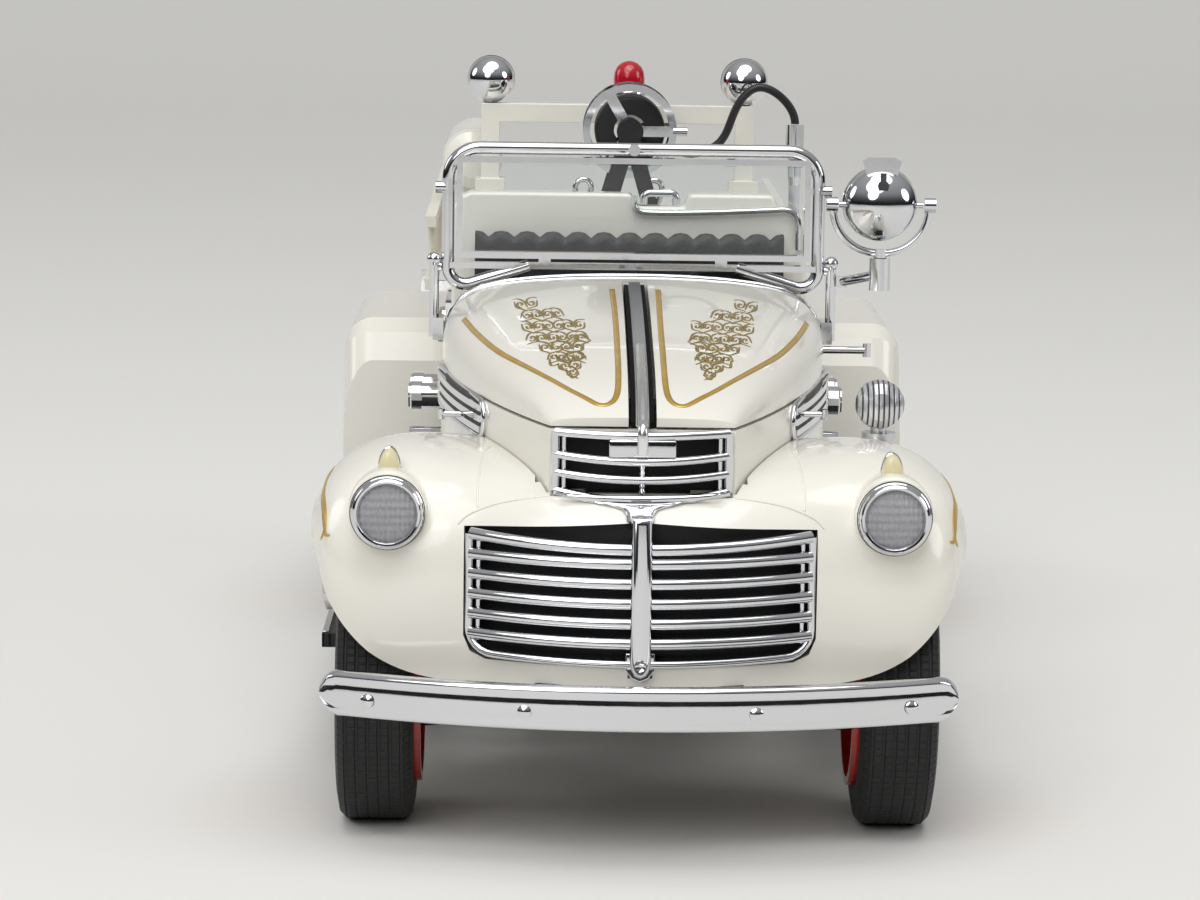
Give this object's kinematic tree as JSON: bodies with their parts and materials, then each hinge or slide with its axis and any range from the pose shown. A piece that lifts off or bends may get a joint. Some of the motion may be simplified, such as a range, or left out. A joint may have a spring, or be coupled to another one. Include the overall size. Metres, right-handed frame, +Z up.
{
  "type": "1:24 scale model fire engine",
  "caption": "Die-cast scale model of an open-cab fire engine with bright grille, rolling and steering wheels, lifting hood halves and a turning searchlight.",
  "frame": {"origin": "on the floor under the middle of the model's bounding box", "axes": "+Z up, the front faces -Y, and +X is the vehicle's left side"},
  "size_m": [0.0932, 0.262, 0.0984],
  "materials": {
    "ivory_paint": "gloss warm white enamel with gold lines",
    "black_paint": "satin black",
    "engine_paint": "grey engine enamel",
    "red_wheel_paint": "gloss red enamel",
    "chrome": "bright plated",
    "black_plastic": "moulded, matt",
    "black_leather": "grey-black buttoned leathercloth",
    "hose_rubber": "smooth black rubber",
    "tyre_rubber": "ribbed black rubber",
    "ladder_paint": "white enamel",
    "clear_lens": "fluted clear",
    "clear_glass": "clear",
    "red_lens": "red translucent plastic",
    "cream_lens": "cream plastic"
  },
  "bodies": {
    "body": {"chassis_frame": "black_paint", "front_bumper": "chrome", "nose_fenders": "ivory_paint", "lower_grille": "chrome", "grille_screens": "black_plastic", "hood_spine": "chrome", "cowl_shell": "ivory_paint", "upper_grille": "chrome", "side_louvres": "chrome", "headlamp_rims": "chrome", "headlamp_lenses": "clear_lens", "parking_lamps": "cream_lens", "siren": "chrome", "engine_block": "engine_paint", "windshield_frame": "chrome", "windshield_glass": "clear_glass", "windshield_posts": "chrome", "searchlight_arm": "chrome", "cab_floor": "ivory_paint", "dashboard": "black_plastic", "steering_column": "black_plastic", "seat_cushion": "black_leather", "seat_back": "black_leather", "bulkhead": "ivory_paint", "hose_body": "ivory_paint", "rear_fenders": "ivory_paint", "running_boards": "black_plastic", "pump_panels": "chrome", "pump_fittings": "chrome", "gantry": "ivory_paint", "work_lamps": "chrome", "beacon_dome": "red_lens", "hose_reel": "chrome", "hose_coil": "hose_rubber", "reel_stand": "black_plastic", "booster_hose": "hose_rubber", "hose_nozzle": "chrome", "side_tank": "ivory_paint", "ladder": "ladder_paint", "bright_rails": "chrome", "tail_step": "black_plastic", "tail_lamps": "red_lens", "front_axle": "black_paint", "rear_axle": "black_paint"},
    "knuckle_left": {"knuckle_left": "black_paint"},
    "knuckle_right": {"knuckle_right": "black_paint"},
    "wheel_front_left": {"front_wheel_left": "red_wheel_paint", "front_tyre_left": "tyre_rubber"},
    "wheel_front_right": {"front_wheel_right": "red_wheel_paint", "front_tyre_right": "tyre_rubber"},
    "wheel_rear_left": {"rear_wheel_left": "red_wheel_paint", "rear_tyres_left": "tyre_rubber"},
    "wheel_rear_right": {"rear_wheel_right": "red_wheel_paint", "rear_tyres_right": "tyre_rubber"},
    "hood_left": {"hood_left": "ivory_paint"},
    "hood_right": {"hood_right": "ivory_paint"},
    "searchlight_yoke": {"searchlight_yoke": "chrome"},
    "searchlight_lamp": {"searchlight_lamp": "chrome"},
    "steering_wheel": {"steering_wheel": "black_plastic"}
  },
  "joints": [
    {"name": "steer_left", "type": "hinge", "parent": "body", "child": "knuckle_left", "pos_m": [0.0284, -0.094, 0.0192], "axis": [0, 0, 1], "range_deg": [-20, 20]},
    {"name": "steer_right", "type": "hinge", "parent": "body", "child": "knuckle_right", "pos_m": [-0.0284, -0.094, 0.0192], "axis": [0, 0, 1], "range_deg": [-20, 20]},
    {"name": "spin_front_left", "type": "hinge", "parent": "knuckle_left", "child": "wheel_front_left", "pos_m": [0.03515, -0.094, 0.0192], "axis": [1, 0, 0], "continuous": true},
    {"name": "spin_front_right", "type": "hinge", "parent": "knuckle_right", "child": "wheel_front_right", "pos_m": [-0.03515, -0.094, 0.0192], "axis": [1, 0, 0], "continuous": true},
    {"name": "spin_rear_left", "type": "hinge", "parent": "body", "child": "wheel_rear_left", "pos_m": [0.0318, 0.074, 0.0192], "axis": [1, 0, 0], "continuous": true},
    {"name": "spin_rear_right", "type": "hinge", "parent": "body", "child": "wheel_rear_right", "pos_m": [-0.0318, 0.074, 0.0192], "axis": [1, 0, 0], "continuous": true},
    {"name": "open_hood_left", "type": "hinge", "parent": "body", "child": "hood_left", "pos_m": [0.00165, -0.043, 0.06875], "axis": [0, -0.9964, -0.0851], "range_deg": [0, 60]},
    {"name": "open_hood_right", "type": "hinge", "parent": "body", "child": "hood_right", "pos_m": [-0.00165, -0.043, 0.06875], "axis": [0, 0.9964, 0.0851], "range_deg": [0, 60]},
    {"name": "searchlight_swivel", "type": "hinge", "parent": "body", "child": "searchlight_yoke", "pos_m": [0.0363, -0.0405, 0.0734], "axis": [0, 0, 1], "range_deg": [-180, 90]},
    {"name": "searchlight_tilt", "type": "hinge", "parent": "searchlight_yoke", "child": "searchlight_lamp", "pos_m": [0.0363, -0.0405, 0.0805], "axis": [1, 0, 0], "range_deg": [-60, 40]},
    {"name": "turn_steering_wheel", "type": "hinge", "parent": "body", "child": "steering_wheel", "pos_m": [0.013, -0.0225, 0.0625], "axis": [0, 0.788, 0.6157], "range_deg": [-160, 160]}
  ],
  "couplings": [
    {"joint": "steer_right", "follows": "steer_left", "ratio": 1},
    {"joint": "turn_steering_wheel", "follows": "steer_left", "ratio": 8}
  ]
}
